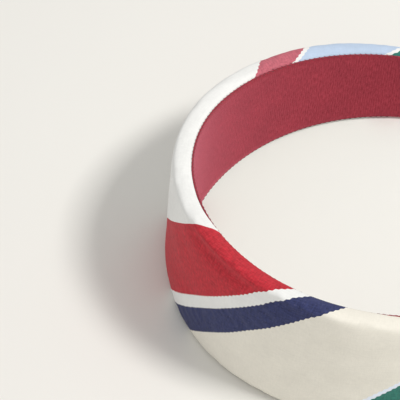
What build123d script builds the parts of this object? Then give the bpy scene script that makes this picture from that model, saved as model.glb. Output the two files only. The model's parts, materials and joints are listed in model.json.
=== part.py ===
"""Padded hair band, wide at the crown and narrower at the tips, lying on its lower edge.

A flexible plastic hoop carries a sponge pad on its outside, held by a tape. One piece of striped
cloth wraps the pad, folds over both edges and both tips, and is hemmed on the inner face. A ribbon
is taped over the hems, and small whip stitches join ribbon and cloth along each edge.

Millimetres, +Z up. The band stands on its lower edge at z = 0, the crown points to -Y and the
tips to +Y, and X = 0 is the plane of symmetry. The origin is on the ground, in the middle of
the overall width and depth.
"""

from build123d import *
from math import atan2, cos, radians, sin, tan
import os

# The hoop's plan, measured on the ribbon's inner face: a crown arc and two flatter side arcs
crown_radius = 65.0
crown_half_angle = 70.5
side_radius = 76.0
half_length = 172.0

# Overall height of the band at the crown and at the tips, and the depth from one to the other
crown_height = 51.0
tip_height = 31.6
tip_depth = 126.8

# Overall thickness, from the ribbon's inner face to the cloth's outer face
crown_thickness = 7.8
side_thickness = 7.8
tip_thickness = 5.0

# Layers, from the head outwards, with a line of glue between one and the next
ribbon_thickness = 0.65
cloth_thickness = 0.5
core_thickness = 1.6
pad_tape_thickness = 0.2
glue_line = 0.05

# How far each layer stops short of the band's two edges, and of its tips
ribbon_edge_inset = 1.25
ribbon_tip_inset = 1.6
core_edge_inset = 2.6
core_tip_inset = 3.0
tape_edge_inset = 4.0
tape_tip_inset = 6.0
hem_width = 7.0
hem_gap = 0.6

# Roundings: the tips' corners seen from the side, the pad's shoulders and the fold at each edge
tip_corner_radius = 7.0
shoulder_radius = 2.4
fold_radius = 1.0

# Whip stitches, each leaning along the hoop as it climbs from the ribbon to the cloth
thread_radius = 0.18
stitch_pitch = 2.0
stitch_advance = 1.1
stitch_foot = 0.15
stitch_head = 0.75
stitch_climb = 1.05
stitch_length = 1.48
stitch_tip_inset = 14.0

# From the crown's inner face back to the middle of the overall depth
origin_setback = 60.2

# The height tapers evenly along the depth, so the band leans by half its taper
lean = atan2((crown_height - tip_height) / 2, tip_depth)
hoop_plane = Plane(
    origin=(0, -origin_setback, crown_height / 2 * cos(lean)),
    x_dir=(1, 0, 0),
    z_dir=(0, sin(lean), cos(lean)),
)
lower_edge_plane = Plane.XY
upper_edge_plane = Plane(
    origin=hoop_plane.from_local_coords(Vector(0, 0, crown_height / 2)),
    x_dir=(1, 0, 0),
    z_dir=(0, sin(2 * lean), cos(2 * lean)),
)

# Where each layer starts, outward from the ribbon's inner face
hem_face = ribbon_thickness + glue_line
core_face = hem_face + cloth_thickness + glue_line
pad_tape_face = core_face + core_thickness + glue_line
pad_face = pad_tape_face + pad_tape_thickness + glue_line
join_distance = crown_radius * radians(crown_half_angle)


def plan_point(distance, outward=0.0):
    """Point this far along the hoop from the crown, and this far outward of its inner face."""
    on_crown = min(distance, join_distance)
    join = on_crown / crown_radius
    turn = join + (distance - on_crown) / side_radius
    x = crown_radius * sin(join) + side_radius * (sin(turn) - sin(join))
    y = crown_radius * (1 - cos(join)) + side_radius * (cos(join) - cos(turn))
    return Vector(x + outward * sin(turn), y - outward * cos(turn))


def arm_arcs(tip_inset, offsets):
    """Draw one long side of the strip: a crown arc, with a tangent side arc at either end."""
    distances = (0, join_distance, half_length - tip_inset)
    middle, join, tip = (plan_point(*place) for place in zip(distances, offsets))
    crown = ThreePointArc(Vector(-join.X, join.Y), middle, join)
    right = TangentArc(join, tip, tangent=crown % 1)
    left = TangentArc(Vector(-join.X, join.Y), Vector(-tip.X, tip.Y), tangent=(crown % 0) * -1)
    return left, right


def extrude_strip(inner, outer, edge_inset, tip_inset):
    """Raise a strip of the hoop between two sets of offsets, and trim it to the tapering height."""
    with BuildSketch(hoop_plane) as plan:
        with BuildLine():
            inner_arms = arm_arcs(tip_inset, inner)
            outer_arms = arm_arcs(tip_inset, outer)
            for inner_arm, outer_arm in zip(inner_arms, outer_arms):
                Line(inner_arm @ 1, outer_arm @ 1)
        make_face()
    extrude(plan.sketch, amount=crown_height, both=True)
    split(bisect_by=lower_edge_plane.offset(edge_inset), keep=Keep.TOP)
    split(bisect_by=upper_edge_plane.offset(-edge_inset), keep=Keep.BOTTOM)


def even(offset):
    """One offset for the crown, the sides and the tips."""
    return (offset, offset, offset)


def padded(inset):
    """The padded face's offsets at the crown, the sides and the tips, drawn in by an inset."""
    return (crown_thickness - inset, side_thickness - inset, tip_thickness - inset)


def tip_corners(strip):
    """The four short edges across the strip's thickness, above and below at either tip."""
    return strip.edges().filter_by(GeomType.LINE).filter_by(lambda edge: edge.length < crown_thickness)


def rim(strip, outside):
    """The edges round the strip's outer or inner side, without the seams between its arcs."""
    faces = strip.faces().filter_by(GeomType.CYLINDER)
    faces = faces.filter_by(lambda face: face.radius > tip_corner_radius + core_tip_inset)
    if outside:
        faces = faces.filter_by(lambda face: face.is_circular_convex)
    else:
        faces = faces.filter_by(lambda face: face.is_circular_concave)
    edges = faces.edges()
    return edges.filter_by(lambda edge: sum(edge == other for other in edges) == 1)


def seam_point(distance, outward, climb, side):
    """Point near the ribbon's edge, climbing past it; side is 1 above and -1 below."""
    place = plan_point(abs(distance), outward)
    half_height = crown_height / 2 - place.Y * tan(lean) - ribbon_edge_inset / cos(lean)
    across = place.X if distance > 0 else -place.X
    return hoop_plane.from_local_coords(Vector(across, place.Y, side * (half_height + climb)))


def stitch_planes(side):
    """A plane at the foot of each whip stitch, facing along the stitch."""
    planes = []
    last = int((half_length - stitch_tip_inset) / stitch_pitch)
    for number in range(-last, last + 1):
        along = number * stitch_pitch
        foot = seam_point(along - stitch_advance / 2, stitch_foot, thread_radius + glue_line, side)
        head = seam_point(along + stitch_advance / 2, stitch_head, stitch_climb, side)
        planes.append(Plane(origin=foot, z_dir=head - foot))
    return planes


with BuildPart() as lining_ribbon:
    extrude_strip(even(0), even(ribbon_thickness), ribbon_edge_inset, ribbon_tip_inset)
    fillet(tip_corners(lining_ribbon), tip_corner_radius - ribbon_edge_inset)
lining_ribbon.part.label = "lining_ribbon"

with BuildPart() as core_band:
    extrude_strip(
        even(core_face), even(core_face + core_thickness), core_edge_inset, core_tip_inset
    )
    fillet(tip_corners(core_band), tip_corner_radius - core_edge_inset)
core_band.part.label = "core_band"

with BuildPart() as pad_tape:
    extrude_strip(
        even(pad_tape_face),
        even(pad_tape_face + pad_tape_thickness),
        tape_edge_inset,
        tape_tip_inset,
    )
pad_tape.part.label = "pad_tape"

# The tape under the ribbon fills the window that the hems leave open
window_inset = fold_radius + hem_width
with BuildPart() as lining_tape:
    extrude_strip(
        even(hem_face), even(core_face - glue_line), window_inset + hem_gap, window_inset + hem_gap
    )
lining_tape.part.label = "lining_tape"

# The room inside the pad for the plastic hoop and its tape
with BuildPart() as core_room:
    extrude_strip(
        even(core_face - glue_line),
        even(pad_face),
        core_edge_inset - glue_line,
        core_tip_inset - glue_line,
    )
    fillet(tip_corners(core_room), tip_corner_radius - core_edge_inset + glue_line)

pad_inset = cloth_thickness + glue_line
with BuildPart() as foam_pad:
    extrude_strip(even(core_face), padded(pad_inset), pad_inset, pad_inset)
    fillet(tip_corners(foam_pad), tip_corner_radius - pad_inset)
    fillet(rim(foam_pad, outside=True), shoulder_radius - pad_inset)
    fillet(rim(foam_pad, outside=False), fold_radius - pad_inset)
    add(core_room, mode=Mode.SUBTRACT)
foam_pad.part.label = "foam_pad"

# The room inside the cloth for everything that it wraps, and the window between its hems
with BuildPart() as cloth_room:
    extrude_strip(
        even(hem_face + cloth_thickness), padded(cloth_thickness), cloth_thickness, cloth_thickness
    )
    fillet(tip_corners(cloth_room), tip_corner_radius - cloth_thickness)
    fillet(rim(cloth_room, outside=True), shoulder_radius - cloth_thickness)
    fillet(rim(cloth_room, outside=False), fold_radius - cloth_thickness)

with BuildPart() as hem_window:
    extrude_strip(even(0), even(core_face), window_inset, window_inset)

with BuildPart() as striped_cover:
    extrude_strip(even(hem_face), padded(0), 0, 0)
    fillet(tip_corners(striped_cover), tip_corner_radius)
    fillet(rim(striped_cover, outside=True), shoulder_radius)
    fillet(rim(striped_cover, outside=False), fold_radius)
    add(cloth_room, mode=Mode.SUBTRACT)
    add(hem_window, mode=Mode.SUBTRACT)
striped_cover.part.label = "striped_cover"

with BuildPart() as upper_edge_stitches:
    with BuildSketch(*stitch_planes(1)):
        Circle(thread_radius)
    extrude(amount=stitch_length)
upper_edge_stitches.part.label = "upper_edge_stitches"

with BuildPart() as lower_edge_stitches:
    with BuildSketch(*stitch_planes(-1)):
        Circle(thread_radius)
    extrude(amount=stitch_length)
lower_edge_stitches.part.label = "lower_edge_stitches"

pieces = (
    core_band,
    foam_pad,
    pad_tape,
    striped_cover,
    lining_tape,
    lining_ribbon,
    upper_edge_stitches,
    lower_edge_stitches,
)
os.makedirs("parts", exist_ok=True)
for piece in pieces:
    export_step(piece.part, f"parts/{piece.part.label}.step")
    print(piece.part.label, len(piece.solids()), piece.part.bounding_box())
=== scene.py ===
"""Looks for a wide padded hair band that lies on its lower edge.

The striped cover and the foam inside it are padded forms, built as grids that follow the hoop.
A cloth simulation swells the cover, which is then given its real thickness. The ribbon gets its
cross ribs and the seams their loops of thread. The plastic hoop and the two tapes come from CAD.

Metres, in the frame's own axes. Along the band a point has hoop coordinates: s is the distance
from the crown along the hoop, u the distance outward from the ribbon's inner face, and v the
distance up from the band's middle line.
"""

import json
from math import atan2, cos, pi, radians, sin, tan

import bmesh
import bpy
import numpy as np
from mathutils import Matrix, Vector


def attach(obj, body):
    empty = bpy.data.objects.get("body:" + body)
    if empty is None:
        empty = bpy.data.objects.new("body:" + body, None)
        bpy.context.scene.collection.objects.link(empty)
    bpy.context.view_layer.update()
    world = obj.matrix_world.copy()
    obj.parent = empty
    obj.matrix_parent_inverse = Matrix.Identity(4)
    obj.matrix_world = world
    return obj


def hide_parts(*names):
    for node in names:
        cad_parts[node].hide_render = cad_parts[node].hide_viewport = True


MM = 0.001

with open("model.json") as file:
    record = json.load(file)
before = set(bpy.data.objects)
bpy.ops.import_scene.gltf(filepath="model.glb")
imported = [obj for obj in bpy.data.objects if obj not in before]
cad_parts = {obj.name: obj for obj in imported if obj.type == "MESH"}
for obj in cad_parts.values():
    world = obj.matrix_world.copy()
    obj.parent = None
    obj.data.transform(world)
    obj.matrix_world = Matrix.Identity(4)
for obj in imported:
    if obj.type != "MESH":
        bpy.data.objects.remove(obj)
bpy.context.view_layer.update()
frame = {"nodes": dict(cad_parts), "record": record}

# The hoop. Its place, lean and crown radius come from the record, and its outline is the CAD's.
# The thickness is the visual's own, and differs from the CAD's by a few tenths of a millimetre
grip = next(mount for mount in frame["record"]["mounts"] if mount["name"] == "head_grip")
crown_radius = grip["dims"]["r_mm"] * MM
lean = atan2(grip["axis"][1], grip["axis"][2])
crown_half_angle = radians(70.5)
side_radius = 76 * MM
half_length = 172 * MM
join_distance = crown_radius * crown_half_angle
crown_height = 51 * MM
crown_thickness = 7.66 * MM
side_gain = 0.35 * MM
tip_loss = 3 * MM
hoop_y = grip["pos_m"][1] - crown_radius * cos(lean)
hoop_z = grip["pos_m"][2] + crown_radius * sin(lean)

# The layers, outward from the ribbon's inner face, and how far they stop short of the edges
ribbon_thickness = 0.65 * MM
ribbon_inset = 1.25 * MM
hem_face = 0.72 * MM
cloth_thickness = 0.45 * MM
core_face = 1.25 * MM
pad_face = 3.3 * MM
core_inset = 2.3 * MM
tip_corner_radius = 7 * MM
least_corner_radius = 1.5 * MM

# The padded section: its face is a superellipse from one edge's crest to the other's
crest_offset = 5.5 * MM
crest_share = 0.72
upper_dome = 4.5
lower_dome = 6
tip_dome = 16 * MM
cover_skin = 0.55 * MM

# Where along the hoop the cover's roll laps over the ribbon's upper edge
lap_start = -22 * MM
lap_end = 62 * MM
lap_ease = 11 * MM

# Whip stitches, each climbing from its foot in the ribbon to its head in the cloth. The scatter,
# foot, climb, inset and bow are in plain millimetres
stitch_pitch = 2 * MM
stitch_scatter = 0.07
stitch_advance = 2.2 * MM
stitch_tip_inset = 14 * MM
stitch_foot = -0.08
stitch_climb = 0.95
stitch_inset = 1.5
stitch_bow = 0.2
stitch_steps = 11
thread_radius = 0.1 * MM
thread_sides = 12
ply_turns = 1.6
ply_depth = 0.14
thread_end = 0.35

# The ribbon's weave
rib_pitch = 0.9 * MM
rib_height = 0.02 * MM
selvage_height = 0.09 * MM
selvage_place = 0.7 * MM
selvage_width = 0.5 * MM

# The cover's simulation. The usual pressure of about 4 hardly moves cloth as small as this, so
# the pressure is high, the vertices are light, and the cloth is cut a little too large
pressure = 200
vertex_mass = 0.01
slack = 0.006
cloth_quality = 6
last_frame = 20
swell_cap = 1.4 * MM

# The cover's unevenness: how high or deep each kind is, and how long or wide
lump_height = 0.09 * MM
lump_length = 17 * MM
crease_depth = 0.13 * MM
crease_length = 14 * MM
crease_patch = 38 * MM
crease_sharpness = 6
pucker_height = 0.07 * MM
pucker_length = 5 * MM
valley_depth = 0.95 * MM
valley_place = -3.4 * MM
valley_width = 2.7 * MM
bead_height = 0.25 * MM
bead_place = 1.2 * MM
bead_width = 2.2 * MM
pleat_height = 0.16 * MM
pleat_pitch = 6 * MM
pleat_length = 16 * MM
pleat_patch = 12 * MM
hem_start = 4 * MM
hem_full = 7 * MM
ground_clearance = 0.02 * MM

# The foam's relief
sponge_depth = 0.05 * MM
sponge_length = 6 * MM

rng = np.random.default_rng(11)


def hoop_turn(s):
    """How far the hoop has turned from the crown, in radians, at a distance along it."""
    distance = np.abs(s)
    on_crown = np.minimum(distance, join_distance)
    return on_crown / crown_radius + (distance - on_crown) / side_radius


def hoop_plan(s, u):
    """Plan position before the hoop leans: across, and back from the crown's inner face."""
    turn = hoop_turn(s)
    join = np.minimum(np.abs(s), join_distance) / crown_radius
    x = crown_radius * np.sin(join) + side_radius * (np.sin(turn) - np.sin(join))
    y = crown_radius * (1 - np.cos(join)) + side_radius * (np.cos(join) - np.cos(turn))
    return np.sign(s) * (x + u * np.sin(turn)), y - u * np.cos(turn)


def to_frame(hoop):
    """Hoop coordinates, one point a row, to points in the frame."""
    s, u, v = np.asarray(hoop, float).T
    x, y = hoop_plan(s, u)
    return np.stack(
        [x, y * cos(lean) + v * sin(lean) + hoop_y, v * cos(lean) - y * sin(lean) + hoop_z], -1
    )


def half_height(s):
    """Half the band's height, which tapers evenly along the depth."""
    return crown_height / 2 - hoop_plan(s, 0 * s)[1] * tan(lean)


def ease(value, low, high):
    """A smooth step from 0 at low to 1 at high."""
    share = np.clip((value - low) / (high - low), 0, 1)
    return share * share * (3 - 2 * share)


def thickness(s):
    """The padded band's thickness: nearly even, and thinner only towards the tips."""
    sides = side_gain * ease(np.abs(s), 30 * MM, 80 * MM)
    return crown_thickness + sides - tip_loss * (s / half_length) ** 6


def crest(s):
    """Outward offset of the line where the padded band is highest."""
    return np.minimum(crest_offset, crest_share * thickness(s))


# ---------------------------------------------------------------------------
# Closed forms on the hoop: a front grid, rings round its rim, and a back grid


def outline(a, b, inset):
    """Map a grid from -1 to 1 both ways onto the band's outline, drawn in by an inset."""
    reach = half_length - inset
    corner = max(tip_corner_radius - inset, least_corner_radius)
    s = a * reach
    into_corner = np.clip((np.abs(s) - (reach - corner)) / corner, 0, 1)
    cut = corner * (1 - np.sqrt(1 - into_corner**2))
    return s, b * (half_height(s) - inset - cut)


def outline_normal(a, s, v):
    """Unit direction out of the outline at its border, in the s and v plane."""
    corner = (np.abs(s) - (half_length - tip_corner_radius)) / tip_corner_radius
    along = np.where(np.abs(a) > 0.9999, 1, np.clip(corner, 0, 1))
    return np.stack([np.sign(s) * along, np.sign(v) * np.sqrt(1 - along**2)], -1)


def rim_cells(columns, rows):
    """Column and row numbers of a grid's border, once round."""
    bottom = [(i, 0) for i in range(columns)]
    end = [(columns, j) for j in range(rows)]
    top = [(i, rows) for i in range(columns, 0, -1)]
    start = [(0, j) for j in range(rows, 0, -1)]
    return np.array(bottom + end + top + start).T


def grid_quads(index):
    """Quads between neighbours in a grid of vertex numbers."""
    corners = [index[:-1, :-1], index[1:, :-1], index[1:, 1:], index[:-1, 1:]]
    return np.stack(corners, -1).reshape(-1, 4)


def ring_quads(first, second):
    """Quads between two closed rings of vertex numbers."""
    return np.stack([first, second, np.roll(second, -1), np.roll(first, -1)], -1)


def number_back(index, cells, border, first):
    """Vertex numbers of the back grid: its border is the rim's last ring, the rest are new."""
    back = np.zeros_like(index)
    back[cells] = border
    inside = back[1:-1, 1:-1]
    inside[:] = np.arange(first, first + inside.size).reshape(inside.shape)
    return back


def band_form(columns, rows, front_inset, front_u, rim, back_u):
    """A closed form on the hoop.

    front_inset is how far the front grid stops short of the band's edges and tips, front_u gives
    its outward offsets from s and v, and back_u the back grid's from s.
    rim lists the steps from front to back, each an inset and a function of s for the offset.
    Cloth coordinates run on over the rim, so that a pattern on the front wraps round it.
    """
    grid_a, grid_b = np.meshgrid(
        np.linspace(-1, 1, columns + 1), np.linspace(-1, 1, rows + 1), indexing="ij"
    )
    s, v = outline(grid_a, grid_b, front_inset)
    front = np.stack([s, front_u(s, v), v], -1)
    index = np.arange(s.size).reshape(s.shape)
    cells = tuple(rim_cells(columns, rows))
    ring, before = front[cells], index[cells]
    edge = ring[:, (0, 2)]
    outward = outline_normal(grid_a[cells], edge[:, 0], edge[:, 1])
    places = [front.reshape(-1, 3)]
    cloth = [front[..., (0, 2)].reshape(-1, 2)]
    quads = [grid_quads(index)]
    gone = 0
    count = index.size
    for inset, rim_u in rim:
        s, v = outline(grid_a[cells], grid_b[cells], inset)
        step = np.stack([s, rim_u(s), v], -1)
        gone = gone + np.linalg.norm(step - ring, axis=1, keepdims=True)
        after = np.arange(count, count + len(s))
        places.append(step)
        cloth.append(edge + outward * gone)
        quads.append(ring_quads(before, after))
        ring, before, count = step, after, count + len(s)
    s, v = (grid[1:-1, 1:-1].ravel() for grid in outline(grid_a, grid_b, rim[-1][0]))
    places.append(np.stack([s, back_u(s), v], -1))
    cloth.append(np.stack([s, v], -1))
    return {
        "hoop": np.concatenate(places),
        "cloth": np.concatenate(cloth),
        "quads": np.concatenate(quads),
        "back": grid_quads(number_back(index, cells, before, count))[:, ::-1],
        "front_size": index.size,
        "rim_size": len(before),
    }


def level(u):
    """An even offset, as a function of s."""
    return lambda s: u + 0 * s


def outer_side(share, skin=0):
    """An offset between the crest and the padded face."""
    return lambda s: crest(s) + share * (thickness(s) - skin - crest(s))


def inner_side(share, face):
    """An offset between the crest and a face nearer the head."""
    return lambda s: crest(s) + share * (face - crest(s))


def lap(s):
    """Where the cover's roll laps over the ribbon's edge: 1 along one arm near the crown."""
    rise = np.clip((s - lap_start) / lap_ease, 0, 1)
    fall = np.clip((lap_end - s) / lap_ease, 0, 1)
    return np.minimum(rise, fall)


def rolled(share, face, lapped):
    """An offset on the inner side of the roll, drawn towards the head where the roll laps."""
    return lambda s: inner_side(share, face)(s) + lap(s) * (lapped - inner_side(share, face)(s))


def domed(skin):
    """The padded face's offsets, domed between its edges and its tips."""

    def offset(s, v):
        across = np.abs(v) / half_height(s)
        along = np.clip((np.abs(s) - half_length + tip_dome) / tip_dome, 0, 1)
        power = np.where(v > 0, upper_dome, lower_dome)
        rise = np.clip(1 - across**power - along**power, 0.02, 1) ** (1 / power)
        return crest(s) + rise * (thickness(s) - skin - crest(s))

    return offset


# ---------------------------------------------------------------------------
# Meshes


def make_object(name, points, quads, cloth=None):
    """A smooth mesh object, with the cloth coordinates as its UV map."""
    mesh = bpy.data.meshes.new(name)
    mesh.from_pydata(points.tolist(), [], quads.tolist())
    if cloth is not None:
        loops = np.empty(len(mesh.loops), int)
        mesh.loops.foreach_get("vertex_index", loops)
        layer = mesh.uv_layers.new(name="cloth")
        layer.data.foreach_set("uv", cloth[loops].ravel())
    work = bmesh.new()
    work.from_mesh(mesh)
    bmesh.ops.recalc_face_normals(work, faces=work.faces)
    work.to_mesh(mesh)
    work.free()
    mesh.shade_smooth()
    obj = bpy.data.objects.new(name, mesh)
    bpy.context.scene.collection.objects.link(obj)
    return obj


def read_points(mesh):
    """Vertex positions as an array."""
    points = np.empty(len(mesh.vertices) * 3)
    mesh.vertices.foreach_get("co", points)
    return points.reshape(-1, 3)


def write_points(mesh, points):
    """Put the vertices at these positions."""
    mesh.vertices.foreach_set("co", points.ravel())
    mesh.update()


def read_cloth(mesh):
    """Each vertex's cloth coordinates, from the UV map."""
    loops = np.empty(len(mesh.loops), int)
    mesh.loops.foreach_get("vertex_index", loops)
    uv = np.empty(len(mesh.loops) * 2)
    mesh.uv_layers["cloth"].data.foreach_get("uv", uv)
    cloth = np.empty((len(mesh.vertices), 2))
    cloth[loops] = uv.reshape(-1, 2)
    return cloth


def read_normals(mesh):
    """Vertex normals as an array."""
    normals = np.empty(len(mesh.vertices) * 3)
    mesh.vertices.foreach_get("normal", normals)
    return normals.reshape(-1, 3)


def make_form(name, form):
    """A mesh object from a form on the hoop, closed at the back."""
    quads = np.concatenate([form["quads"], form["back"]])
    return make_object(name, to_frame(form["hoop"]), quads, form["cloth"])


def subdivide(obj):
    """Replace the object's mesh with its subdivision surface."""
    smooth = obj.modifiers.new("Subdivision", "SUBSURF")
    smooth.levels = smooth.render_levels = 1
    seen = obj.evaluated_get(bpy.context.evaluated_depsgraph_get())
    obj.data = bpy.data.meshes.new_from_object(seen)
    obj.modifiers.clear()


def swell(obj, free, cap):
    """Blow the form up as cloth under pressure. Only the free vertices move, less than the cap."""
    held = [i for i in range(len(obj.data.vertices)) if i not in free]
    group = obj.vertex_groups.new(name="held")
    group.add(held, 1, "REPLACE")
    cloth = obj.modifiers.new("Cloth", "CLOTH")
    cloth.settings.vertex_group_mass = "held"
    cloth.settings.quality = cloth_quality
    cloth.settings.use_pressure = True
    cloth.settings.uniform_pressure_force = pressure
    cloth.settings.mass = vertex_mass
    cloth.settings.shrink_min = -slack
    cloth.settings.effector_weights.gravity = 0
    cloth.point_cache.frame_start = 1
    cloth.point_cache.frame_end = last_frame
    for number in range(1, last_frame + 1):
        bpy.context.scene.frame_set(number)
    seen = obj.evaluated_get(bpy.context.evaluated_depsgraph_get())
    start = read_points(obj.data)
    moved = read_points(seen.data) - start
    length = np.linalg.norm(moved, axis=1, keepdims=True)
    obj.modifiers.remove(cloth)
    obj.vertex_groups.clear()
    bpy.context.scene.frame_set(1)
    write_points(obj.data, start + moved * cap / (cap + length))


def waves(cloth, wavelength, count=14, stretch=1.0):
    """Smooth unevenness about 1 high: waves in random directions, longer along s by stretch."""
    total = 0
    least = [0, 0, 0.7]
    most = [2 * pi, 2 * pi, 1.4]
    for angle, phase, scale in rng.uniform(least, most, (count, 3)):
        along = cloth[:, 0] * cos(angle) / stretch + cloth[:, 1] * sin(angle)
        total = total + np.sin(2 * pi * along * scale / wavelength + phase)
    return total / np.sqrt(count / 2)


def ridge(distance, place, width):
    """A smooth ridge 1 high along a line, across which the distance is measured."""
    return np.exp(-(((distance - place) / width) ** 2))


def loose_cloth(cloth, above):
    """Soft lumps, long creases in patches, and puckers at the seams."""
    lumps = lump_height * waves(cloth, lump_length, stretch=2)
    patch = np.clip(waves(cloth, crease_patch) - 0.2, 0, 1)
    crest_line = 1 - np.abs(np.sin(pi * waves(cloth, crease_length, stretch=3.5) / 1.6))
    creases = -crease_depth * patch * crest_line**crease_sharpness
    seam = np.clip((above + 1 * MM) / (4 * MM), 0, 1)
    return lumps + creases + pucker_height * seam * waves(cloth, pucker_length)


def roll_relief(s, w, above):
    """The roll along the upper edge of one arm: a bead on it, and a valley under it that fades."""
    roll = lap(s) * (w > 0)
    fading = 1 - ease(s, 16 * MM, 46 * MM)
    valley = -valley_depth * roll * fading * ridge(above, valley_place, valley_width)
    return valley + bead_height * roll * ridge(above, bead_place, bead_width)


def pleats(cloth, slant, along):
    """Short pulled pleats on the navy stripe and beside it, stronger in patches."""
    pulled = ease(slant, -16 * MM, -2 * MM) * (1 - ease(slant, 7 * MM, 18 * MM))
    fold = along / pleat_pitch + 0.3 * waves(cloth, pleat_length)
    patchy = np.clip(0.6 + 0.5 * waves(cloth, pleat_patch), 0, 1)
    return pleat_height * pulled * patchy * np.sin(2 * pi * fold)


def wrinkles(cloth):
    """How far the cover stands proud of its smooth form. The hems inside stay flat."""
    s, w = cloth.T
    above = np.abs(w) - half_height(np.clip(s, -half_length, half_length))
    hem = ease(above, hem_start, hem_full)
    relief = loose_cloth(cloth, above) + roll_relief(s, w, above) + pleats(cloth, s - w, s + w)
    return (1 - hem) * relief


# ---------------------------------------------------------------------------
# Pieces. A rim's steps run from front to back, each an inset from the band's edge and an offset


def make_cover():
    """The striped cloth: swollen, creased, and as thick as cloth."""
    rim = [
        (2.2 * MM, outer_side(0.7)),
        (0.84 * MM, outer_side(0.55)),
        (0.16 * MM, outer_side(0.3)),
        (-0.05 * MM, inner_side(0.1, hem_face)),
        (0.15 * MM, rolled(0.5, hem_face, 2.2 * MM)),
        (0.6 * MM, rolled(0.85, hem_face, 0.45 * MM)),
        (1.15 * MM, rolled(0.97, hem_face, 0.1 * MM)),
        (1.6 * MM, level(hem_face)),
        (8.2 * MM, level(hem_face)),
    ]
    form = band_form(
        columns=186,
        rows=24,
        front_inset=4 * MM,
        front_u=domed(0.35 * MM),
        rim=rim,
        back_u=level(hem_face),
    )
    cover = make_form("cover_striped_cloth", form)
    outside = form["front_size"] + 4 * form["rim_size"]
    swell(cover, set(range(outside)), swell_cap)
    open_window(cover, len(form["quads"]))
    subdivide(cover)
    crumple(cover)
    solid = cover.modifiers.new("Thickness", "SOLIDIFY")
    solid.thickness = cloth_thickness
    solid.offset = -1
    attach(cover, "root")
    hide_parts("striped_cover")
    return cover


def crumple(obj):
    """Move the surface out and in by its wrinkles, and keep it just clear of the ground."""
    points = read_points(obj.data)
    points += read_normals(obj.data) * wrinkles(read_cloth(obj.data))[:, None]
    points[:, 2] = np.maximum(points[:, 2], ground_clearance)
    write_points(obj.data, points)


def open_window(obj, kept):
    """Keep only the first faces, so that the cover is one piece of cloth, open between its hems."""
    work = bmesh.new()
    work.from_mesh(obj.data)
    work.faces.ensure_lookup_table()
    bmesh.ops.delete(work, geom=work.faces[kept:], context="FACES")
    work.to_mesh(obj.data)
    work.free()


def make_foam():
    """The sponge pad under the cloth, with a channel for the plastic hoop."""
    rim = [
        (3.6 * MM, outer_side(0.2, cover_skin)),
        (2.6 * MM, outer_side(0.05, cover_skin)),
        (1.6 * MM, outer_side(-0.1, cover_skin)),
        (1.2 * MM, inner_side(0.3, core_face)),
        (1.2 * MM, inner_side(0.6, core_face)),
        (1.5 * MM, inner_side(0.85, core_face)),
        (1.9 * MM, level(core_face)),
        (core_inset, level(core_face)),
        (core_inset, level(pad_face)),
    ]
    form = band_form(
        columns=110,
        rows=12,
        front_inset=4.4 * MM,
        front_u=domed(cover_skin + 0.9 * MM),
        rim=rim,
        back_u=level(pad_face),
    )
    foam = make_form("foam_pad_sponge", form)
    subdivide(foam)
    points = read_points(foam.data)
    relief = 1 + waves(read_cloth(foam.data), sponge_length)
    points -= read_normals(foam.data) * sponge_depth * relief[:, None]
    write_points(foam.data, points)
    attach(foam, "root")
    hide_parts("foam_pad")
    return foam


def ribbed(s, v):
    """The ribbon's face towards the head: fine cross ribs, and a raised selvage near each edge."""
    ribs = rib_height * np.sin(2 * pi * s / rib_pitch)
    from_edge = half_height(s) - ribbon_inset - np.abs(v)
    selvage = selvage_height * np.exp(-((from_edge - selvage_place) / selvage_width) ** 4)
    return 0.05 * MM + ribs - selvage


def make_ribbon():
    """The ribbon that lines the band."""
    rim = [
        (ribbon_inset + 0.06 * MM, level(0.08 * MM)),
        (ribbon_inset, level(0.32 * MM)),
        (ribbon_inset + 0.06 * MM, level(0.58 * MM)),
        (ribbon_inset + 0.3 * MM, level(ribbon_thickness)),
    ]
    form = band_form(
        columns=1500,
        rows=18,
        front_inset=ribbon_inset + 0.3 * MM,
        front_u=ribbed,
        rim=rim,
        back_u=level(ribbon_thickness),
    )
    ribbon = make_form("lining_ribbon_ribbed", form)
    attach(ribbon, "root")
    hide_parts("lining_ribbon")
    ribbon.visible_diffuse = False
    return ribbon


def stitch_path(along, side):
    """One loop of thread: up from the ribbon's face, over its edge and into the cloth."""
    share = np.linspace(0, 1, stitch_steps)
    s = along + (share - 0.5) * stitch_advance
    u = (stitch_foot + stitch_climb * share**2) * MM
    inset = (stitch_inset - stitch_bow * np.sin(0.6 * pi * share)) * MM
    return to_frame(np.stack([s, u, side * (half_height(s) - inset)], -1))


def thread_tube(path):
    """Points of a tube round a path, with the two plies of its thread twisted together."""
    forward = np.gradient(path, axis=0)
    forward /= np.linalg.norm(forward, axis=1, keepdims=True)
    across = np.cross(forward, [0, 0, 1])
    across /= np.linalg.norm(across, axis=1, keepdims=True)
    up = np.cross(across, forward)
    angle = np.linspace(0, 2 * pi, thread_sides, endpoint=False)
    twist = np.linspace(0, 2 * pi * ply_turns, len(path))[:, None]
    ply = thread_radius * (1 + ply_depth * np.cos(2 * angle - twist))
    ends = np.ones(len(path))
    ends[[0, -1]] = thread_end
    ring = across[:, None] * np.cos(angle)[:, None] + up[:, None] * np.sin(angle)[:, None]
    return (path[:, None] + ring * (ply * ends[:, None])[..., None]).reshape(-1, 3)


def make_stitches(side, name, node):
    """Every whip stitch along one edge, as one object of separate loops."""
    last = int((half_length - stitch_tip_inset) / stitch_pitch)
    points, quads = [], []
    index = np.arange(stitch_steps * thread_sides).reshape(stitch_steps, thread_sides)
    tube = np.concatenate([ring_quads(*pair) for pair in zip(index[:-1], index[1:])])
    for number in range(-last, last + 1):
        along = number * stitch_pitch + rng.normal(0, stitch_scatter) * MM
        points.append(thread_tube(stitch_path(along, side)))
        quads.append(tube + (number + last) * index.size)
    stitches = make_object(name, np.concatenate(points), np.concatenate(quads))
    close_ends(stitches)
    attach(stitches, "root")
    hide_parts(node)
    return stitches


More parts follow.
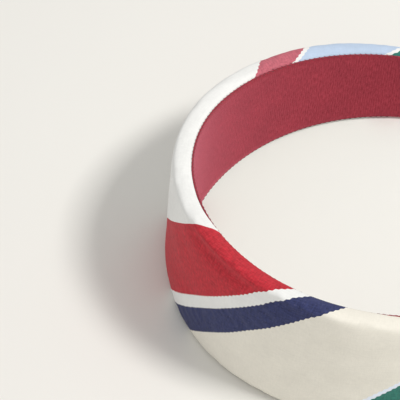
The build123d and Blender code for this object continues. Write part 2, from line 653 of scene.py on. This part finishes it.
def close_ends(obj):
    """Fill the open ends of the tubes."""
    work = bmesh.new()
    work.from_mesh(obj.data)
    bmesh.ops.holes_fill(work, edges=work.edges, sides=0)
    bmesh.ops.recalc_face_normals(work, faces=work.faces)
    work.to_mesh(obj.data)
    work.free()


# ---------------------------------------------------------------------------
# Materials


def node(tree, kind, *values, **settings):
    """Add a shader node. Values go to its inputs in order, linked where they are sockets."""
    made = tree.nodes.new("ShaderNode" + kind)
    for name, value in settings.items():
        setattr(made, name, value)
    for socket, value in zip(made.inputs, values):
        if isinstance(value, bpy.types.NodeSocket):
            tree.links.new(value, socket)
        elif value is not None:
            socket.default_value = value
    return made


def math(tree, operation, *values):
    """A Math node's output."""
    return node(tree, "Math", *values, operation=operation).outputs[0]


def noise(tree, place, scale, detail=2.0, roughness=0.5):
    """Noise from 0 to 1, with features about 1/scale metres wide."""
    made = node(tree, "TexNoise")
    tree.links.new(place, made.inputs["Vector"])
    made.inputs["Scale"].default_value = scale
    made.inputs["Detail"].default_value = detail
    made.inputs["Roughness"].default_value = roughness
    return made.outputs[0]


def spread(tree, value, low, high):
    """Map 0 to 1 onto low to high."""
    made = node(tree, "MapRange", value)
    made.inputs["To Min"].default_value = low
    made.inputs["To Max"].default_value = high
    return made.outputs[0]


def sharpen(tree, value, low, high):
    """Map low to high onto 0 to 1, and hold it beyond."""
    made = node(tree, "MapRange", value)
    made.inputs["From Min"].default_value = low
    made.inputs["From Max"].default_value = high
    return made.outputs[0]


def mixed(tree, factor, first, second, blend="MIX"):
    """Two colours mixed by a factor."""
    made = tree.nodes.new("ShaderNodeMix")
    made.data_type = "RGBA"
    made.blend_type = blend
    sockets = (made.inputs[0], made.inputs[6], made.inputs[7])
    for socket, value in zip(sockets, (factor, first, second)):
        if isinstance(value, bpy.types.NodeSocket):
            tree.links.new(value, socket)
        else:
            socket.default_value = value
    return made.outputs[2]


def shade(tree, colour, value):
    """A colour made lighter or darker by a value about 1."""
    grey = node(tree, "CombineColor", value, value, value).outputs[0]
    return mixed(tree, 1.0, colour, grey, "MULTIPLY")


def cloth_place(tree, stretch=(1, 1)):
    """Cloth coordinates in metres, stretched along s and across."""
    uv = node(tree, "UVMap", uv_map="cloth").outputs[0]
    return node(tree, "VectorMath", uv, (*stretch, 1), operation="MULTIPLY").outputs[0]


def object_place(tree):
    """The frame's own coordinates, for a piece with no UV map."""
    return node(tree, "TexCoord").outputs["Object"]


def new_material(name, **constants):
    """A material with its Principled shader's constant sockets set. Returns it, tree and shader."""
    material = bpy.data.materials.new(name)
    material.use_nodes = True
    tree = material.node_tree
    shader = tree.nodes["Principled BSDF"]
    for socket, value in constants.items():
        shader.inputs[socket.replace("_", " ")].default_value = value
    return material, tree, shader


def finish_material(tree, shader, colour, roughness, height, depth):
    """Link colour, roughness and a bump of a given depth in metres to the shader."""
    bump = tree.nodes.new("ShaderNodeBump")
    bump.inputs["Strength"].default_value = 1
    bump.inputs["Distance"].default_value = depth
    tree.links.new(height, bump.inputs["Height"])
    tree.links.new(bump.outputs[0], shader.inputs["Normal"])
    tree.links.new(colour, shader.inputs["Base Color"])
    tree.links.new(roughness, shader.inputs["Roughness"])


def weave(tree, place, pitch):
    """A plain weave's height: threads cross over and under one another."""
    split = node(tree, "SeparateXYZ", place).outputs
    warp = math(tree, "SINE", math(tree, "MULTIPLY", split[0], 2 * pi / pitch))
    weft = math(tree, "SINE", math(tree, "MULTIPLY", split[1], 2 * pi / pitch))
    return spread(tree, math(tree, "MULTIPLY", warp, weft), 0.5, 1)


# Colours, as linear RGBA: the striped cloth's dyes, single colours, and pairs that a noise mixes
dyes = {
    "white": (0.80, 0.805, 0.79, 1),
    "red": (0.475, 0.025, 0.038, 1),
    "rose": (0.49, 0.125, 0.16, 1),
    "navy": (0.033, 0.04, 0.115, 1),
    "cream": (0.775, 0.745, 0.665, 1),
    "blue": (0.47, 0.575, 0.73, 1),
    "pale": (0.74, 0.80, 0.90, 1),
    "teal": (0.03, 0.17, 0.135, 1),
}
fluff_colour = (0.8, 0.74, 0.7, 1)
ribbon_colours = (0.205, 0.012, 0.022, 1), (0.415, 0.042, 0.066, 1)
ribbon_glow = (1, 0.3, 0.4, 1)
thread_colours = (0.06, 0.006, 0.012, 1), (0.17, 0.02, 0.03, 1)
plastic_colours = (0.80, 0.80, 0.77, 1), (0.88, 0.88, 0.86, 1)
# The sponge's own colour, and a darker one that is painted shade in its pores
sponge_and_pore_shade_colours = (0.62, 0.56, 0.42, 1), (0.90, 0.87, 0.76, 1)
# The tape's own colour, and a darker one that is painted shade in its creases
tape_and_crease_shade_colours = (0.84, 0.83, 0.79, 1), (0.90, 0.89, 0.86, 1)
paper_colours = (0.81, 0.80, 0.765, 1), (0.82, 0.81, 0.775, 1)

# Each stripe's dye, and where it begins, in millimetres of the slanting coordinate s - w, where
# w is the cloth coordinate across the band
stripes = (
    ("teal", -260),
    ("white", -177.6),
    ("blue", -175.3),
    ("white", -145.9),
    ("rose", -142.6),
    ("white", -127.1),
    ("red", -41.2),
    ("white", -6.5),
    ("navy", -0.5),
    ("white", 11.0),
    ("cream", 11.6),
    ("pale", 63.3),
    ("teal", 65.2),
    ("white", 97),
    ("blue", 100),
    ("white", 128),
    ("red", 131),
    ("cream", 161),
)
stripe_reach = 260 * MM

# The steps of the weave along the stripes' edges, with one edge that has none
tooth_pitch = 2 * MM
tooth_height = 0.55 * MM
smooth_edge = -41.2 * MM

# How strongly the yarn shows in a dark dye and in a light one
dark_contrast = 2.6
light_contrast = 0.25


def stripe_colour(tree):
    """Slanting stripes, with the small steps of the weave along their edges."""
    split = node(tree, "SeparateXYZ", cloth_place(tree)).outputs
    across = math(tree, "SUBTRACT", split[0], split[1])
    along = math(tree, "MULTIPLY", math(tree, "ADD", split[0], split[1]), 0.5**0.5)
    tooth = math(tree, "PINGPONG", along, tooth_pitch / 2)
    tooth = math(tree, "MULTIPLY", tooth, 2 * tooth_height / tooth_pitch)
    toothless = math(tree, "COMPARE", across, smooth_edge, 4 * MM)
    tooth = math(tree, "MULTIPLY", tooth, math(tree, "SUBTRACT", 1.0, toothless))
    place = math(tree, "ADD", across, tooth)
    share = math(tree, "MULTIPLY_ADD", place, 0.5 / stripe_reach, 0.5)
    ramp = node(tree, "ValToRGB", share)
    ramp.color_ramp.interpolation = "CONSTANT"
    steps = ramp.color_ramp.elements
    steps[0].color = dyes[stripes[0][0]]
    steps.remove(steps[1])
    for dye, begin in stripes[1:]:
        steps.new(0.5 + 0.5 * begin * MM / stripe_reach).color = dyes[dye]
    return ramp.outputs[0]


def striped_cloth():
    """Woven cotton: striped dyes, uneven yarn, a little pale fluff, and the weave's relief."""
    material, tree, shader = new_material("striped_cloth", Sheen_Weight=0.08, Sheen_Roughness=0.5)
    shader.inputs["Specular IOR Level"].default_value = 0.2
    colour = stripe_colour(tree)
    warp_yarn = noise(tree, cloth_place(tree, (1, 0.22)), 1 / (0.55 * MM), 3, 0.6)
    weft_yarn = noise(tree, cloth_place(tree, (0.22, 1)), 1 / (0.6 * MM), 3, 0.6)
    yarn = math(tree, "MULTIPLY", math(tree, "ADD", warp_yarn, weft_yarn), 0.5)
    brightness = node(tree, "RGBToBW", colour).outputs[0]
    contrast = spread(tree, sharpen(tree, brightness, 0, 0.5), dark_contrast, light_contrast)
    uneven = math(tree, "MULTIPLY_ADD", math(tree, "SUBTRACT", yarn, 0.5), contrast, 1.0)
    colour = shade(tree, colour, uneven)
    worn = noise(tree, cloth_place(tree), 1 / (9 * MM), 3, 0.55)
    colour = shade(tree, colour, spread(tree, worn, 0.93, 1.07))
    fluff = sharpen(tree, noise(tree, cloth_place(tree), 1 / (0.8 * MM), 2, 0.7), 0.56, 0.8)
    fluff = math(tree, "MULTIPLY", fluff, 0.05)
    colour = mixed(tree, fluff, colour, fluff_colour)
    relief = weave(tree, cloth_place(tree), 0.7 * MM)
    height = math(tree, "ADD", relief, math(tree, "MULTIPLY", yarn, 1.6))
    roughness = spread(tree, yarn, 0.72, 0.95)
    finish_material(tree, shader, colour, roughness, height, 0.045 * MM)
    return material


def lining_cloth():
    """Dark red ribbon with a soft sheen: rib shadows, flecks of lighter nap and a slow drift."""
    material, tree, shader = new_material("lining_ribbon", Sheen_Weight=0.85, Sheen_Roughness=0.42)
    shader.inputs["Specular IOR Level"].default_value = 0.2
    shader.inputs["Sheen Tint"].default_value = ribbon_glow
    place = cloth_place(tree)
    ribs = node(tree, "SeparateXYZ", place).outputs[0]
    ribs = math(tree, "SINE", math(tree, "MULTIPLY", ribs, 2 * pi / rib_pitch))
    nap = noise(tree, cloth_place(tree, (1, 0.3)), 1 / (0.6 * MM), 3, 0.65)
    drift = noise(tree, place, 1 / (14 * MM), 2, 0.5)
    colour = mixed(tree, sharpen(tree, nap, 0.27, 0.78), *ribbon_colours)
    colour = shade(tree, colour, spread(tree, drift, 0.82, 1.16))
    colour = shade(tree, colour, math(tree, "MULTIPLY_ADD", ribs, -0.03, 1.0))
    relief = math(tree, "ADD", nap, weave(tree, place, 0.45 * MM))
    finish_material(tree, shader, colour, spread(tree, nap, 0.75, 0.95), relief, 0.05 * MM)
    return material


def sewing_thread():
    """Dark red twisted thread with slight gloss."""
    material, tree, shader = new_material("sewing_thread", Sheen_Weight=0.2)
    fibre = noise(tree, object_place(tree), 1 / (0.12 * MM), 3, 0.6)
    colour = mixed(tree, fibre, *thread_colours)
    finish_material(tree, shader, colour, spread(tree, fibre, 0.45, 0.7), fibre, 0.02 * MM)
    return material


def core_plastic():
    """Satin white moulded plastic, faintly cloudy, with a fine grain."""
    material, tree, shader = new_material("core_plastic", Coat_Weight=0.1, Coat_Roughness=0.3)
    place = object_place(tree)
    cloud = noise(tree, place, 1 / (12 * MM), 3)
    grain = noise(tree, place, 1 / (0.3 * MM), 2)
    colour = mixed(tree, cloud, *plastic_colours)
    finish_material(tree, shader, colour, spread(tree, grain, 0.38, 0.55), grain, 0.01 * MM)
    return material


def pad_foam():
    """Open-cell sponge: pores at two sizes, and painted shade in the pores."""
    material, tree, shader = new_material("pad_foam", Sheen_Weight=0.1)
    place = object_place(tree)
    pores = node(tree, "TexVoronoi")
    tree.links.new(place, pores.inputs["Vector"])
    pores.inputs["Scale"].default_value = 1 / (0.9 * MM)
    small = noise(tree, place, 1 / (0.3 * MM), 3, 0.7)
    height = math(tree, "ADD", sharpen(tree, pores.outputs[0], 0.05, 0.6), small)
    # Painted shade: the colour darkens where the pores sink in
    colour = mixed(tree, height, *sponge_and_pore_shade_colours)
    finish_material(tree, shader, colour, spread(tree, small, 0.85, 1), height, 0.15 * MM)
    return material


def adhesive_tape():
    """Creamy film with faint creases across it, and painted shade where they lie lower."""
    material, tree, shader = new_material("adhesive_tape", Coat_Weight=0.15, Coat_Roughness=0.2)
    place = object_place(tree)
    crease = noise(tree, place, 1 / (3 * MM), 4, 0.7)
    # Painted shade: the colour darkens where the creases lie lower
    colour = mixed(tree, crease, *tape_and_crease_shade_colours)
    finish_material(tree, shader, colour, spread(tree, crease, 0.3, 0.5), crease, 0.05 * MM)
    return material


def floor_paper():
    """Matt, warm white studio paper."""
    material, tree, shader = new_material("floor_paper")
    shader.inputs["Specular IOR Level"].default_value = 0.1
    grain = noise(tree, object_place(tree), 1 / (60 * MM), 3)
    colour = mixed(tree, grain, *paper_colours)
    finish_material(tree, shader, colour, spread(tree, grain, 0.9, 1), grain, 0.05 * MM)
    return material


def dress(obj, material):
    """Give every face of the object this material."""
    obj.data.materials.clear()
    obj.data.materials.append(material)


# ---------------------------------------------------------------------------
# Studio

view_azimuth = radians(51.4)
view_elevation = radians(48)
view_distance = 0.796
view_lens = 194
sensor_width = 36
view_target = Vector((-59.9, -26, 0)) * MM
world_colour = (1, 0.99, 0.975, 1)
world_strength = 0.60
floor_reach = 1.5
floor_steps = 13

to_right = Vector((cos(view_azimuth), sin(view_azimuth), 0))
to_viewer = Vector((sin(view_azimuth), -cos(view_azimuth), 0))


def make_camera():
    """The photograph's view: from above and to one side, through a long lens."""
    back = to_viewer * cos(view_elevation) + Vector((0, 0, sin(view_elevation)))
    camera = bpy.data.cameras.new("camera")
    camera.lens = view_lens
    camera.sensor_width = sensor_width
    camera.clip_start = 0.05
    obj = bpy.data.objects.new("camera", camera)
    obj.location = view_target + back * view_distance
    obj.rotation_mode = "QUATERNION"
    obj.rotation_quaternion = (-back).to_track_quat("-Z", "Y")
    bpy.context.scene.collection.objects.link(obj)
    bpy.context.scene.camera = obj


def make_area_light(name, direction, distance, size, power, colour):
    """A square soft box that faces the band, and that no view shows."""
    light = bpy.data.lights.new(name, "AREA")
    light.size = size
    light.energy = power
    light.color = colour
    obj = bpy.data.objects.new(name, light)
    direction = direction.normalized()
    obj.location = direction * distance
    obj.rotation_mode = "QUATERNION"
    obj.rotation_quaternion = (-direction).to_track_quat("-Z", "Y")
    obj.visible_camera = False
    bpy.context.scene.collection.objects.link(obj)


def make_world():
    """Bright, even fill from all round."""
    world = bpy.data.worlds.new("studio")
    world.use_nodes = True
    background = world.node_tree.nodes["Background"]
    background.inputs["Color"].default_value = world_colour
    background.inputs["Strength"].default_value = world_strength
    bpy.context.scene.world = world


def make_floor():
    """A wide paper floor under the band."""
    steps = np.linspace(-floor_reach, floor_reach, floor_steps)
    x, y = np.meshgrid(steps, steps, indexing="ij")
    points = np.stack([x, y, 0 * x], -1).reshape(-1, 3)
    floor = make_object("floor", points, grid_quads(np.arange(x.size).reshape(x.shape)))
    dress(floor, floor_paper())


def make_studio():
    """Floor, even surroundings, a soft key light, a weaker low fill, and the camera.

    The key stands high on the picture's right, the fill low on its left, towards the viewer.
    """
    make_floor()
    make_world()
    make_area_light(
        "key",
        direction=to_right + to_viewer * 0.35 + Vector((0, 0, 1.55)),
        distance=1.3,
        size=0.27,
        power=11.1,
        colour=(1, 0.985, 0.96),
    )
    make_area_light(
        "fill",
        direction=to_viewer - to_right + Vector((0, 0, 0.15)),
        distance=1.6,
        size=1.2,
        power=3.4,
        colour=(1, 0.985, 0.97),
    )
    make_camera()
    bpy.context.scene.view_settings.view_transform = "Standard"


# ---------------------------------------------------------------------------
# Everything together. The pieces are made in this order, because they share one random generator

thread = sewing_thread()
tape = adhesive_tape()
dress(make_cover(), striped_cloth())
dress(make_foam(), pad_foam())
dress(make_ribbon(), lining_cloth())
dress(make_stitches(1, "stitches_upper_edge", "upper_edge_stitches"), thread)
dress(make_stitches(-1, "stitches_lower_edge", "lower_edge_stitches"), thread)
dress(frame["nodes"]["core_band"], core_plastic())
dress(frame["nodes"]["pad_tape"], tape)
dress(frame["nodes"]["lining_tape"], tape)
make_studio()
